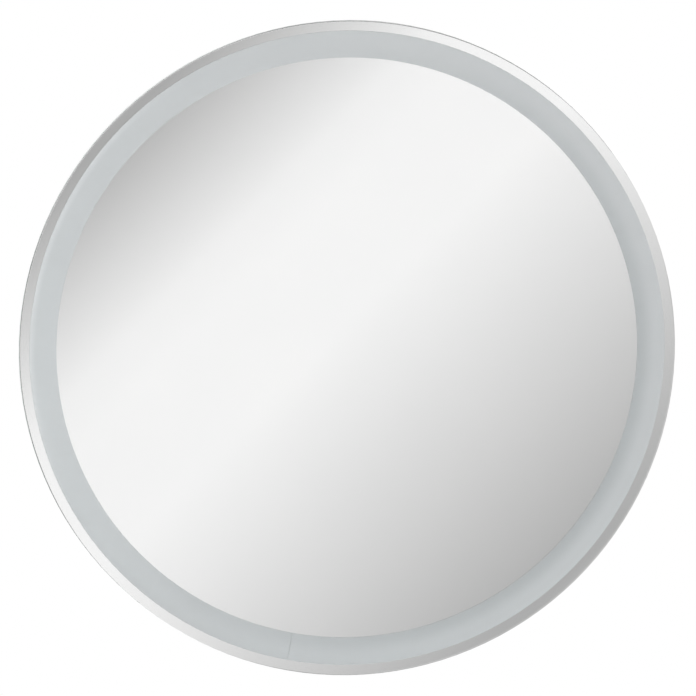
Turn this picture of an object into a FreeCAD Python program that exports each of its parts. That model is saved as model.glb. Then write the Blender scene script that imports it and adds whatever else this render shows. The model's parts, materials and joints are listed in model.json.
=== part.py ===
import FreeCAD, Part
import math
import os
import re
import Sketcher

from FreeCAD import Placement, Rotation, Vector

# A round wall mirror with a frosted light ring behind its glass.
#
# Every piece is drawn in one working frame: x to the right and y up along the
# mirror, z out of the wall towards the viewer, zero at the mirror's centre on
# the wall plane. The placement of each piece then stands that frame upright,
# with the origin between the two screw holes of the wall rail.

# Driving dimensions, in millimetres and degrees.
SIZES = {
    # glass and its coating
    "glass_radius": 300,
    "glass_thickness": 5,
    "glass_arris": 0.3,
    "rim_band": 9.2,
    "ring_width": 24.9,
    "etch_depth": 0.15,
    "coat_thickness": 0.2,
    "coat_gap": 0.05,
    "film_thickness": 0.2,
    "film_margin": 1,
    # aluminium frame ring
    "frame_overhang": 6,
    "frame_wall": 1.5,
    "flange_width": 2.9,
    "web_width": 15,
    "wall_gap": 2,
    "seam_gap": 0.4,
    "seam_angle": 225,
    "joint_length": 44,
    "joint_height": 8,
    "joint_gap": 0.05,
    "rivet_offset": 12,
    "rivet_radius": 1.5,
    "rivet_head_radius": 2.5,
    "rivet_head_height": 0.7,
    "hole_clearance": 0.1,
    "close_clearance": 0.05,
    # white reflector tray, diffuser and seals
    "tray_wall": 1.5,
    "tray_side_wall": 1.2,
    "tray_gap": 0.3,
    "lip_thickness": 1,
    "diffuser_thickness": 2.5,
    "diffuser_bearing": 1,
    "diffuser_gap": 0.2,
    "diffuser_joint": 0.1,
    "post_radius": 4,
    "feed_angle": 259.5,
    "feed_slot_length": 14,
    "feed_slot_width": 8,
    # light-emitting tape
    "tape_width": 8,
    "tape_thickness": 0.3,
    "tape_glue": 0.05,
    "tape_margin": 0.125,
    "tape_opening": 8,
    "chip_length": 3.5,
    "chip_width": 2.8,
    "chip_height": 0.8,
    "chip_solder": 0.05,
    # rear cover
    "cover_sheet": 1,
    "cover_margin": 0.5,
    "bead_depth": 1.5,
    "bead_width": 12,
    "bead_flank": 4,
    "outer_bead_inset": 10,
    "bead_clearance": 5,
    "cover_screw_inset": 8,
    "screw_radius": 1.5,
    "screw_head_radius": 2.8,
    "screw_head_height": 1.6,
    "screw_length": 10,
    "screw_slot_width": 0.7,
    "screw_slot_depth": 0.8,
    # hanging rails and bumpers
    "hang_drop": 140,
    "rail_length": 260,
    "rail_sheet": 1.5,
    "rail_base": 20,
    "rail_lip": 12,
    "rail_gap": 0.3,
    "lip_clear": 1.6,
    "flange_gap": 1.1,
    "lift_gap": 1.5,
    "rail_hole_spacing": 210,
    "rail_hole_radius": 2.75,
    "hanger_rivet_inset": 20,
    "hanger_rivet_inner": 40,
    "hanger_rivet_radius": 1.6,
    "hanger_rivet_head": 3.2,
    "hanger_rivet_tail": 2.4,
    "bumper_spread": 180,
    "bumper_drop": 190,
    "bumper_radius": 8,
    "bumper_stem": 3,
    "bumper_barb": 4.2,
    "barb_taper": -20,
    # service hatch
    "hatch_height": 40,
    "hatch_opening_width": 56,
    "hatch_opening_height": 50,
    "hatch_corner": 6,
    "hatch_margin": 9,
    "hatch_sheet": 1,
    "gasket_thickness": 0.5,
    "gasket_inset": 0.5,
    "hatch_screw_inset": 4.5,
    "hatch_screw_length": 4,
    # supply cable inlet
    "inlet_across": 62,
    "inlet_bore": 3.6,
    "inlet_waist": 6.4,
    "inlet_flange": 9,
    "inlet_flange_height": 1.8,
    # terminal block
    "block_width": 22,
    "block_length": 34,
    "block_depth": 13,
    "pole_pitch": 10,
    "pole_height": 7,
    "well_width": 13.2,
    "well_length": 6.4,
    "well_floor": 4,
    "clamp_clearance": 0.1,
    "clamp_depth": 6,
    "clamp_bore": 1.2,
    "clamp_screw_spread": 7,
    "clamp_screw_radius": 1.2,
    "clamp_screw_head": 2,
    "clamp_screw_head_height": 1.4,
    "clamp_screw_reach": 1.6,
    "block_screw_radius": 1.1,
    "block_screw_head": 1.7,
    # driver
    "driver_across": -130,
    "driver_height": 40,
    "driver_length": 140,
    "driver_width": 50,
    "driver_case_depth": 16.4,
    "driver_wall": 1.6,
    "driver_corner": 4,
    "driver_ear": 10,
    "driver_ear_width": 20,
    "driver_ear_thickness": 3,
    "driver_screw_length": 5,
    "driver_input_spread": 20,
    "driver_output_spread": 8,
    "driver_wire_height": 9,
    "board_margin": 2,
    "board_thickness": 1.6,
    "board_boss_radius": 3,
    "board_boss_height": 2.4,
    "board_boss_inset": 8,
    "transformer_length": 24,
    "transformer_width": 20,
    "transformer_height": 9.5,
    "transformer_window": 14,
    "capacitor_radius": 4,
    "capacitor_height": 9,
    "connector_depth": 9,
    "connector_width": 7,
    # earth point
    "earth_across": -24,
    "earth_height": -18,
    "stud_radius": 2,
    "stud_head_radius": 4,
    "stud_head_height": 1,
    "stud_length": 9,
    "stud_clearance": 0.05,
    "lug_radius": 4,
    "lug_sheet": 0.8,
    "lug_barrel_radius": 1.7,
    "lug_barrel_length": 7,
    "nut_width": 7,
    "nut_height": 3.2,
    # wires and their clips
    "wire_radius": 1,
    "led_wire_radius": 0.8,
    "wire_end_gap": 0.1,
    "wire_lift": 1.2,
    "solder_gap": 0.3,
    "duct_across": 48,
    "duct_spread": 3,
    "led_run_inset": 34,
    "led_wire_spread": 1.4,
    "wire_bore_clearance": 0.4,
    "clip_length": 8,
    "clip_opening": 12,
    "clip_wall": 1.6,
    "clip_clear": 4.2,
    # rocker switch
    "switch_length": 13,
    "switch_width": 8.6,
    "switch_margin": 0.45,
    "switch_fit": 0.1,
    "switch_depth": 11.6,
    "switch_floor": 1.4,
    "bezel_length": 15,
    "bezel_width": 10.5,
    "bezel_thickness": 1.5,
    "bezel_seat": 0.12,
    "latch_reach": 0.5,
    "latch_gap": 0.35,
    "latch_length": 3,
    "rocker_length": 10,
    "rocker_width": 6,
    "rocker_tilt": 9,
    "rocker_crest": 1,
    "rocker_skirt": 1.6,
    "rocker_chamfer": 1,
    "rocker_end_clearance": 0.7,
    "rocker_side_clearance": 0.2,
    "pivot_depth": 2.1,
    "trunnion_radius": 0.8,
    "trunnion_length": 0.7,
    "bridge_inset": 1,
    "bridge_length": 2.2,
    "bridge_sheet": 0.5,
    "contact_gap": 0.2,
    "tab_width": 2.8,
    "tab_sheet": 0.8,
    "tab_spread": 3.8,
    "tab_reach": 6,
}

COVER_SCREWS = 8
CHIPS = 108
FIRST_SCREW_ANGLE = 22.5

# Radii and depths that follow from the driving dimensions.
PLACES = {
    "ring_outer": "glass_radius - rim_band",
    "ring_inner": "ring_outer - ring_width",
    "frame_outer": "glass_radius - frame_overhang",
    "frame_inner": "frame_outer - frame_wall",
    "flange_inner": "frame_outer - flange_width",
    "web_inner": "frame_outer - web_width",
    "hanger_lip_front": "lip_clear + rail_sheet",
    "wall_lip_rear": "hanger_lip_front + rail_gap",
    "wall_lip_front": "wall_lip_rear + rail_sheet",
    "hanger_flange_rear": "wall_lip_front + flange_gap",
    "cover_rear": "hanger_flange_rear + rail_sheet",
    "cover_front": "cover_rear + cover_sheet",
    "web_front": "cover_front + frame_wall",
    "floor_rear": "web_front + switch_width + 2 * switch_margin",
    "floor_front": "floor_rear + tray_wall",
    "lip_rear": "floor_front + tape_width + 2 * tape_margin",
    "seat_level": "lip_rear + lip_thickness",
    "coat_back": "seat_level + diffuser_thickness",
    "coat_front": "coat_back + coat_thickness",
    "glass_back": "coat_front + coat_gap",
    "glass_front": "glass_back + glass_thickness",
    "flange_front": "seat_level + frame_wall",
    "tray_outer": "frame_inner - tray_gap",
    "tape_seat": "tray_outer - tray_side_wall",
    "tape_back": "tape_seat - tape_glue",
    "tape_face": "tape_back - tape_thickness",
    "diffuser_outer": "flange_inner - diffuser_gap",
    "diffuser_inner": "ring_inner - diffuser_bearing",
    "outer_lip_edge": "diffuser_outer - diffuser_bearing",
    "inner_lip_edge": "diffuser_inner + diffuser_bearing",
    "wall_ring_outer": "diffuser_inner - diffuser_gap",
    "tray_bore": "wall_ring_outer - tray_wall",
    "film_radius": "tray_bore - film_margin",
    "cover_radius": "frame_inner - cover_margin",
    "outer_bead_radius": "web_inner - outer_bead_inset",
    "hanger_web_low": "hang_drop + rail_base / 2 + rail_lip + lift_gap",
    "hanger_web_top": "hanger_web_low + rail_sheet",
    "inner_bead_radius": "hanger_web_low - bead_clearance - bead_width / 2",
    "screw_circle": "frame_outer - cover_screw_inset",
    "joint_centre": "(web_front + floor_rear) / 2",
    "hatch_width": "hatch_opening_width + 2 * hatch_margin",
    "hatch_length": "hatch_opening_height + 2 * hatch_margin",
    "hatch_front": "cover_rear - gasket_thickness",
    "hatch_rear": "hatch_front - hatch_sheet",
    "pole_level": "hatch_front + pole_height",
    "block_front": "hatch_front + block_depth",
    "clamp_rear": "hatch_front + well_floor",
    "clamp_front": "clamp_rear + clamp_depth",
    "driver_front": "cover_front + driver_case_depth",
    "driver_left": "driver_across - driver_length / 2",
    "driver_right": "driver_across + driver_length / 2",
    "driver_wire_level": "cover_front + driver_wire_height",
    "board_rear": "cover_front + driver_wall + board_boss_height",
    "board_front": "board_rear + board_thickness",
    "coil_width": "transformer_width - 2 * transformer_height / 3",
    "lug_rear": "cover_front + stud_head_height",
    "switch_centre": "(web_front + floor_rear) / 2",
    "bezel_inner": "frame_outer + bezel_seat",
    "bezel_outer": "bezel_inner + bezel_thickness",
    "pivot_radius": "bezel_outer - pivot_depth",
    "switch_inner": "bezel_inner - switch_depth",
    "tab_across": "rocker_length / 2 - bridge_inset - bridge_length / 2",
    "tab_end": "switch_inner - tab_reach",
}

doc = FreeCAD.newDocument("round_lighted_mirror")
sheet = doc.addObject("Spreadsheet::Sheet", "Sheet")
sub_parts = []


def fill_sheet():
    cells = [(name, str(value)) for name, value in SIZES.items()]
    cells += [(name, "=" + formula) for name, formula in PLACES.items()]
    for row, (name, content) in enumerate(cells, start=1):
        sheet.set(f"A{row}", name)
        sheet.set(f"B{row}", content)
        sheet.setAlias(f"B{row}", name)
    doc.recompute()


def from_sheet(formula):
    """The formula with each size or place written as the sheet's cell."""

    def cell(match):
        word = match.group()
        return "Sheet." + word if word in SIZES or word in PLACES else word

    return re.sub(r"[a-z_]+", cell, str(formula))


def number(formula):
    return float(sheet.evalExpression(from_sheet(formula)))


def tie(thing, prop, formula):
    thing.setExpression(prop, from_sheet(formula))


# ---------------------------------------------------------------- bodies

def new_body(label, across="0", up="0", turn="0", depth="0"):
    """A named body whose own frame stands at (across, up) on the mirror."""
    body = doc.addObject("PartDesign::Body", label)
    body.Label = label
    body.AllowCompound = True
    base = f"vector({across}; 0 - {depth}; {up} - hang_drop)"
    upright = "rotation(vector(1; 0; 0); 90)"
    turned = f"rotation(vector(0; 0; 1); {turn})"
    tie(body, "Placement", f"placement({base}; {upright} * {turned})")
    sub_parts.append(body)
    return body


def origin_feature(body, role):
    return next(item for item in body.Origin.OriginFeatures if item.Role == role)


def new_sketch(body, plane, away="0", spin_axis=None, spin="0"):
    """A sketch on an origin plane of its body, moved along the plane's normal."""
    sketch = body.newObject("Sketcher::SketchObject", body.Label + "_sketch")
    sketch.AttachmentSupport = [(origin_feature(body, plane), "")]
    sketch.MapMode = "FlatFace"
    if spin_axis is not None:
        sketch.AttachmentOffset = Placement(Vector(), Rotation(spin_axis, number(spin)))
    tie(sketch, "AttachmentOffset.Base.z", away)
    return sketch


def pin_points(sketch, points):
    """Tie each (edge, end, across, up) point of the sketch to its formulas."""
    rules = []
    for edge, end, across, up in points:
        rules.append(Sketcher.Constraint("DistanceX", -1, 1, edge, end, number(across)))
        rules.append(Sketcher.Constraint("DistanceY", -1, 1, edge, end, number(up)))
    first = sketch.ConstraintCount
    sketch.addConstraint(rules)
    for index, (edge, end, across, up) in enumerate(points):
        tie(sketch, f"Constraints[{first + 2 * index}]", across)
        tie(sketch, f"Constraints[{first + 2 * index + 1}]", up)


def draw_outline(sketch, corners):
    """A closed outline of straight edges through the corners."""
    first = sketch.GeometryCount
    count = len(corners)
    points = [Vector(number(across), number(up), 0) for across, up in corners]
    following = points[1:] + points[:1]
    sketch.addGeometry([Part.LineSegment(a, b) for a, b in zip(points, following)])
    joints = [
        Sketcher.Constraint("Coincident", first + index, 2, first + (index + 1) % count, 1)
        for index in range(count)
    ]
    sketch.addConstraint(joints)
    pin_points(sketch, [(first + i, 1, *corner) for i, corner in enumerate(corners)])


def draw_rectangle(sketch, across, up, width, height):
    left, right = f"{across} - ({width}) / 2", f"{across} + ({width}) / 2"
    low, high = f"{up} - ({height}) / 2", f"{up} + ({height}) / 2"
    draw_outline(sketch, [(left, low), (right, low), (right, high), (left, high)])


def draw_rounded(sketch, across, up, width, height, corner):
    """A rectangle with round corners: four arcs joined by tangent lines."""
    first = sketch.GeometryCount
    reach_x = f"(({width}) / 2 - ({corner}))"
    reach_y = f"(({height}) / 2 - ({corner}))"
    centres = [
        (f"{across} {sign_x} {reach_x}", f"{up} {sign_y} {reach_y}")
        for sign_x, sign_y in ("++", "-+", "--", "+-")
    ]
    radius = number(corner)
    arcs = []
    for quarter, (x, y) in enumerate(centres):
        circle = Part.Circle(Vector(number(x), number(y), 0), Vector(0, 0, 1), radius)
        start = quarter * math.pi / 2
        arcs.append(Part.ArcOfCircle(circle, start, start + math.pi / 2))
    lines = [
        Part.LineSegment(arc.EndPoint, other.StartPoint)
        for arc, other in zip(arcs, arcs[1:] + arcs[:1])
    ]
    sketch.addGeometry(arcs + lines)
    rules = [Sketcher.Constraint("Radius", first, radius)]
    for quarter in range(4):
        arc, line = first + quarter, first + 4 + quarter
        next_arc = first + (quarter + 1) % 4
        rules.append(Sketcher.Constraint("Tangent", arc, 2, line, 1))
        rules.append(Sketcher.Constraint("Tangent", line, 2, next_arc, 1))
    rules += [Sketcher.Constraint("Equal", first, first + other) for other in (1, 2, 3)]
    base = sketch.ConstraintCount
    sketch.addConstraint(rules)
    tie(sketch, f"Constraints[{base}]", corner)
    pin_points(sketch, [(first + i, 3, *centre) for i, centre in enumerate(centres)])


def draw_circles(sketch, centres, radius):
    for across, up in centres:
        index = sketch.GeometryCount
        centre = Vector(number(across), number(up), 0)
        sketch.addGeometry(Part.Circle(centre, Vector(0, 0, 1), number(radius)))
        rule = sketch.addConstraint(Sketcher.Constraint("Radius", index, number(radius)))
        tie(sketch, f"Constraints[{rule}]", radius)
        pin_points(sketch, [(index, 3, across, up)])


def pad(body, sketch, length, both_ways=False, taper="0"):
    feature = body.newObject("PartDesign::Pad", body.Label + "_pad")
    feature.Profile = sketch
    feature.Midplane = both_ways
    tie(feature, "TaperAngle", taper)
    tie(feature, "Length", length)
    return feature


def pocket(body, sketch, length, both_ways=False, forwards=False):
    """A cut against the sketch's normal, or along it when forwards."""
    feature = body.newObject("PartDesign::Pocket", body.Label + "_pocket")
    feature.Profile = sketch
    feature.Midplane = both_ways
    feature.Reversed = forwards
    tie(feature, "Length", length)
    return feature


def turn_profile(body, corners, kind="Revolution"):
    """A (radius, depth) outline swept round the body's axis."""
    sketch = new_sketch(body, "XZ_Plane")
    draw_outline(sketch, corners)
    feature = body.newObject("PartDesign::" + kind, body.Label + "_turned")
    feature.Profile = sketch
    feature.ReferenceAxis = (sketch, ["V_Axis"])
    feature.Angle = 360
    return feature


def polar_copies(body, features, count):
    pattern = body.newObject("PartDesign::PolarPattern", body.Label + "_pattern")
    pattern.Originals = features
    pattern.Axis = (origin_feature(body, "Z_Axis"), [""])
    pattern.Angle = 360
    pattern.Occurrences = count
    body.Tip = pattern
    return pattern


def discs(body, centres, radius, rear, front, taper="0"):
    """Round bosses, one at each centre, from one depth to another."""
    sketch = new_sketch(body, "XY_Plane", rear)
    draw_circles(sketch, centres, radius)
    return pad(body, sketch, f"({front}) - ({rear})", taper=taper)


def bores(body, centres, radius, rear, front):
    sketch = new_sketch(body, "XY_Plane", front)
    draw_circles(sketch, centres, radius)
    return pocket(body, sketch, f"({front}) - ({rear})")


def plate(body, across, up, width, height, rear, front, corner=None):
    """A flat block with its width and height centred on (across, up)."""
    sketch = new_sketch(body, "XY_Plane", rear)
    if corner is None:
        draw_rectangle(sketch, across, up, width, height)
    else:
        draw_rounded(sketch, across, up, width, height, corner)
    return pad(body, sketch, f"({front}) - ({rear})")


def window(body, across, up, width, height, rear, front, corner=None):
    sketch = new_sketch(body, "XY_Plane", front)
    if corner is None:
        draw_rectangle(sketch, across, up, width, height)
    else:
        draw_rounded(sketch, across, up, width, height, corner)
    return pocket(body, sketch, f"({front}) - ({rear})")


def ring_outline(inner, outer, rear, front):
    return [(inner, rear), (outer, rear), (outer, front), (inner, front)]


def ring(label, inner, outer, rear, front):
    body = new_body(label)
    turn_profile(body, ring_outline(inner, outer, rear, front))
    return body


def slit(body, angle, width, middle, reach, rear, front):
    """A narrow cut through a ring wall at one angle."""
    sketch = new_sketch(body, "XY_Plane", front, Vector(0, 0, 1), angle)
    draw_rectangle(sketch, middle, "0", reach, width)
    return pocket(body, sketch, f"({front}) - ({rear})")


def slot_in_head(body, centres, head_radius, face, forwards=False):
    """A straight driver slot right across each screw head."""
    sketch = new_sketch(body, "XY_Plane", face)
    for across, up in centres:
        draw_rectangle(sketch, across, up, f"2 * ({head_radius} + screw_slot_depth)",
                       "screw_slot_width")
    return pocket(body, sketch, "screw_slot_depth", forwards=forwards)


def corners_of(across, up, width, height):
    """The four corner points of a rectangle centred on (across, up)."""
    return [
        (f"{across} {sign_x} ({width}) / 2", f"{up} {sign_y} ({height}) / 2")
        for sign_x, sign_y in ("--", "+-", "++", "-+")
    ]


# ---------------------------------------------------------------- mirror face

def glass_disc():
    """A disc with an arris at its front edge; the silvering runs to its back edge."""
    etched = "glass_back + etch_depth"
    body = new_body("glass_disc")
    turn_profile(body, [
        ("0", "glass_back"),
        ("ring_inner", "glass_back"),
        ("ring_inner", etched),
        ("ring_outer", etched),
        ("ring_outer", "glass_back"),
        ("glass_radius", "glass_back"),
        ("glass_radius", "glass_front - glass_arris"),
        ("glass_radius - glass_arris", "glass_front"),
        ("0", "glass_front"),
    ])


def silver_coat():
    """The silvered face on each side of the clear ring window."""
    ring("silver_centre", "0", "ring_inner", "coat_back", "coat_front")
    ring("silver_rim", "ring_outer", "glass_radius", "coat_back", "coat_front")
    ring("safety_film", "0", "film_radius", "coat_back - film_thickness", "coat_back")


def foam_tape():
    ring("foam_tape", "flange_inner", "frame_outer", "flange_front", "coat_back")


def diffuser_ring():
    body = ring("diffuser_ring", "diffuser_inner", "diffuser_outer", "seat_level", "coat_back")
    middle = "(diffuser_inner + diffuser_outer) / 2"
    slit(body, "feed_angle", "diffuser_joint", middle, "2 * ring_width", "seat_level", "coat_back")


# ---------------------------------------------------------------- light chamber

def first_screw(radius="screw_circle"):
    angle = FIRST_SCREW_ANGLE
    return [(f"{radius} * cos({angle})", f"{radius} * sin({angle})")]


def reflector_tray():
    body = new_body("reflector_tray")
    turn_profile(body, [
        ("tray_bore", "floor_rear"),
        ("tray_outer", "floor_rear"),
        ("tray_outer", "seat_level"),
        ("outer_lip_edge", "seat_level"),
        ("outer_lip_edge", "lip_rear"),
        ("tape_seat", "lip_rear"),
        ("tape_seat", "floor_front"),
        ("wall_ring_outer", "floor_front"),
        ("wall_ring_outer", "lip_rear"),
        ("inner_lip_edge", "lip_rear"),
        ("inner_lip_edge", "seat_level"),
        ("wall_ring_outer", "seat_level"),
        ("wall_ring_outer", "flange_front"),
        ("tray_bore", "flange_front"),
    ])
    slit(body, "feed_angle", "feed_slot_width", "wall_ring_outer + feed_slot_length / 2 + tray_wall",
         "feed_slot_length", "floor_rear", "floor_front")
    post = discs(body, first_screw(), "post_radius", "web_front", "floor_rear")
    polar_copies(body, [post], COVER_SCREWS)
    bore = bores(body, first_screw(), "screw_radius + close_clearance", "web_front",
                 "web_front + screw_length")
    polar_copies(body, [bore], COVER_SCREWS)


def light_seal():
    ring("light_seal", "tray_bore", "wall_ring_outer", "flange_front", "coat_back")


def led_tape():
    rear = "floor_front + tape_margin"
    front = f"{rear} + tape_width"
    body = ring("led_tape", "tape_face", "tape_back", rear, front)
    slit(body, "feed_angle", "tape_opening", "tape_seat", "tape_width", rear, front)


def led_chips():
    body = new_body("led_chips", turn=f"feed_angle + 180 / {CHIPS}")
    middle = "floor_front + tape_margin + tape_width / 2"
    outer = "tape_face - chip_solder"
    chip = plate(body, f"{outer} - chip_height / 2", "0", "chip_height", "chip_length",
                 f"{middle} - chip_width / 2", f"{middle} + chip_width / 2")
    polar_copies(body, [chip], CHIPS)


# ---------------------------------------------------------------- frame

def joint_rivet_points():
    """The two rivets of the frame joint: (along the joint, depth)."""
    return [("-rivet_offset", "joint_centre"), ("rivet_offset", "joint_centre")]


def frame_ring():
    body = new_body("frame_ring")
    turn_profile(body, [
        ("frame_inner", "wall_gap"),
        ("frame_outer", "wall_gap"),
        ("frame_outer", "flange_front"),
        ("flange_inner", "flange_front"),
        ("flange_inner", "seat_level"),
        ("frame_inner", "seat_level"),
        ("frame_inner", "web_front"),
        ("web_inner", "web_front"),
        ("web_inner", "cover_front"),
        ("frame_inner", "cover_front"),
    ])
    hole = bores(body, first_screw(), "screw_radius + hole_clearance", "cover_front", "web_front")
    polar_copies(body, [hole], COVER_SCREWS)
    slit(body, "seam_angle", "seam_gap", "frame_outer - web_width / 2", "2 * web_width",
         "wall_gap", "flange_front")
    cutout = new_sketch(body, "XZ_Plane")
    draw_rectangle(cutout, "0", "switch_centre", "switch_length + 2 * switch_fit",
                   "switch_width + 2 * switch_fit")
    pocket(body, cutout, "glass_radius", forwards=True)
    holes = new_sketch(body, "YZ_Plane", "0", Vector(0, 1, 0), "seam_angle")
    draw_circles(holes, joint_rivet_points(), "rivet_radius + hole_clearance")
    pocket(body, holes, "glass_radius", forwards=True)


def frame_joint_plate():
    """The curved strip that bridges the frame's seam on the inside."""
    body = new_body("frame_joint_plate", turn="seam_angle")
    outer = "frame_inner - joint_gap"
    sketch = new_sketch(body, "XZ_Plane")
    draw_outline(sketch, ring_outline(f"{outer} - frame_wall", outer, "joint_centre - joint_height / 2",
                                      "joint_centre + joint_height / 2"))
    feature = body.newObject("PartDesign::Revolution", "joint_sector")
    feature.Profile = sketch
    feature.ReferenceAxis = (sketch, ["V_Axis"])
    feature.Midplane = True
    tie(feature, "Angle", "joint_length / frame_inner * 180 / pi")
    holes = new_sketch(body, "YZ_Plane")
    draw_circles(holes, joint_rivet_points(), "rivet_radius + hole_clearance")
    pocket(body, holes, "glass_radius", forwards=True)


def frame_rivets():
    body = new_body("frame_rivets", turn="seam_angle")
    head_seat = "sqrt(frame_outer^2 - (rivet_offset - rivet_head_radius)^2)"
    inside = "frame_inner - joint_gap - frame_wall"
    tail_seat = f"sqrt(({inside})^2 - (rivet_offset + rivet_head_radius)^2)"
    steps = [
        (tail_seat + " - rivet_head_height", tail_seat, "rivet_head_radius - 2 * hole_clearance"),
        (tail_seat, head_seat, "rivet_radius"),
        (head_seat, head_seat + " + rivet_head_height", "rivet_head_radius"),
    ]
    for start, end, radius in steps:
        sketch = new_sketch(body, "YZ_Plane", start)
        draw_circles(sketch, joint_rivet_points(), radius)
        pad(body, sketch, f"({end}) - ({start})")


# ---------------------------------------------------------------- rear cover

def bead_outlines(centre):
    """The pressed bead behind the sheet, and the groove in front of it."""
    half = "bead_width / 2"
    crest = f"({half} - bead_flank)"
    low = "cover_rear - bead_depth"
    ridge = [
        (f"{centre} - {half}", "cover_rear"),
        (f"{centre} - {crest}", low),
        (f"{centre} + {crest}", low),
        (f"{centre} + {half}", "cover_rear"),
    ]
    groove = [(across, f"{depth} + cover_sheet") for across, depth in ridge]
    return ridge, groove


def hanger_rivet_points():
    height = "hanger_web_top + rail_base / 2"
    outer = "(rail_length / 2 - hanger_rivet_inset)"
    return [(f"-{outer}", height), ("-hanger_rivet_inner", height),
            ("hanger_rivet_inner", height), (outer, height)]


def bumper_points():
    return [("-bumper_spread / 2", "-bumper_drop"), ("bumper_spread / 2", "-bumper_drop")]


def hatch_screw_points():
    return corners_of("0", "hatch_height", "hatch_width - 2 * hatch_screw_inset",
                      "hatch_length - 2 * hatch_screw_inset")


def driver_screw_points():
    reach = "(driver_length / 2 + driver_ear / 2)"
    return [(f"driver_across - {reach}", "driver_height"), (f"driver_across + {reach}", "driver_height")]


def rear_cover():
    body = new_body("rear_cover")
    turn_profile(body, ring_outline("0", "cover_radius", "cover_rear", "cover_front"))
    for centre in ("outer_bead_radius", "inner_bead_radius"):
        ridge, groove = bead_outlines(centre)
        turn_profile(body, ridge)
        turn_profile(body, groove, "Groove")
    rear, front = "cover_rear", "cover_front"
    window(body, "0", "hatch_height", "hatch_opening_width", "hatch_opening_height", rear, front,
           "hatch_corner")
    holes = [
        (hatch_screw_points(), "screw_radius + hole_clearance"),
        (driver_screw_points(), "screw_radius + hole_clearance"),
        (hanger_rivet_points(), "hanger_rivet_radius + hole_clearance"),
        (bumper_points(), "bumper_stem + hole_clearance"),
        ([("inlet_across", "hatch_height")], "inlet_waist + hole_clearance"),
    ]
    for centres, radius in holes:
        bores(body, centres, radius, rear, front)
    hole = bores(body, first_screw(), "screw_radius + hole_clearance", rear, front)
    polar_copies(body, [hole], COVER_SCREWS)


def cover_screws():
    body = new_body("cover_screws")
    place = first_screw()
    rear = "cover_rear - screw_head_height"
    shank = discs(body, place, "screw_radius", "cover_rear", "cover_rear + screw_length")
    head = discs(body, place, "screw_head_radius", rear, "cover_rear")
    slot = slot_in_head(body, place, "screw_head_radius", rear, forwards=True)
    polar_copies(body, [shank, head, slot], COVER_SCREWS)


def service_hatch():
    body = new_body("service_hatch")
    plate(body, "0", "hatch_height", "hatch_width", "hatch_length", "hatch_rear", "hatch_front",
          "hatch_corner + hatch_margin / 2")
    bores(body, hatch_screw_points(), "screw_radius + hole_clearance", "hatch_rear", "hatch_front")
    bores(body, block_screw_points(), "block_screw_radius + close_clearance", "hatch_rear",
          "hatch_front")


def hatch_gasket():
    body = new_body("hatch_gasket")
    rear, front = "hatch_front", "cover_rear"
    plate(body, "0", "hatch_height", "hatch_width - 2 * gasket_inset",
          "hatch_length - 2 * gasket_inset", rear, front, "hatch_corner + hatch_margin / 2")
    window(body, "0", "hatch_height", "hatch_opening_width", "hatch_opening_height", rear, front,
           "hatch_corner")
    bores(body, hatch_screw_points(), "screw_radius + hole_clearance", rear, front)


def hatch_screws():
    body = new_body("hatch_screws")
    rear = "hatch_rear - screw_head_height"
    discs(body, hatch_screw_points(), "screw_radius", "hatch_rear", "hatch_rear + hatch_screw_length")
    discs(body, hatch_screw_points(), "screw_head_radius", rear, "hatch_rear")
    slot_in_head(body, hatch_screw_points(), "screw_head_radius", rear, forwards=True)


def cable_grommet():
    body = new_body("cable_grommet", "inlet_across", "hatch_height")
    low, high = "cover_rear - inlet_flange_height", "cover_front + inlet_flange_height"
    soft = "inlet_flange_height / 2"
    turn_profile(body, [
        ("inlet_bore", low),
        ("inlet_flange - " + soft, low),
        ("inlet_flange", low + " + " + soft),
        ("inlet_flange", "cover_rear"),
        ("inlet_waist", "cover_rear"),
        ("inlet_waist", "cover_front"),
        ("inlet_flange", "cover_front"),
        ("inlet_flange", high + " - " + soft),
        ("inlet_flange - " + soft, high),
        ("inlet_bore", high),
    ])


def wall_bumpers():
    body = new_body("wall_bumpers")
    discs(body, bumper_points(), "bumper_radius", "0", "cover_rear")
    discs(body, bumper_points(), "bumper_stem", "cover_rear", "cover_front")
    discs(body, bumper_points(), "bumper_barb", "cover_front", "cover_front + bumper_stem",
          "barb_taper")


# ---------------------------------------------------------------- hanging rails

def rail_pad(body, corners):
    """A folded strip: the (height, depth) outline drawn out along the rail."""
    sketch = new_sketch(body, "YZ_Plane")
    draw_outline(sketch, corners)
    pad(body, sketch, "rail_length", both_ways=True)


def wall_rail():
    body = new_body("wall_rail")
    low, base = "hang_drop - rail_base / 2", "hang_drop + rail_base / 2"
    lip_top = f"{base} + rail_lip"
    rail_pad(body, [
        (low, "0"),
        (f"{base} + rail_sheet", "0"),
        (f"{base} + rail_sheet", "wall_lip_rear"),
        (lip_top, "wall_lip_rear"),
        (lip_top, "wall_lip_front"),
        (base, "wall_lip_front"),
        (base, "rail_sheet"),
        (low, "rail_sheet"),
    ])
    centres = [("-rail_hole_spacing / 2", "hang_drop"), ("rail_hole_spacing / 2", "hang_drop")]
    bores(body, centres, "rail_hole_radius", "0", "rail_sheet")


def hanger_rail():
    body = new_body("hanger_rail")
    lip_low = "hang_drop + rail_base / 2 + rail_sheet + rail_gap"
    flange_top = "hanger_web_top + rail_base"
    rail_pad(body, [
        (lip_low, "lip_clear"),
        ("hanger_web_top", "lip_clear"),
        ("hanger_web_top", "hanger_flange_rear"),
        (flange_top, "hanger_flange_rear"),
        (flange_top, "cover_rear"),
        ("hanger_web_low", "cover_rear"),
        ("hanger_web_low", "hanger_lip_front"),
        (lip_low, "hanger_lip_front"),
    ])
    bores(body, hanger_rivet_points(), "hanger_rivet_radius + hole_clearance", "hanger_flange_rear",
          "cover_rear")


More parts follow.
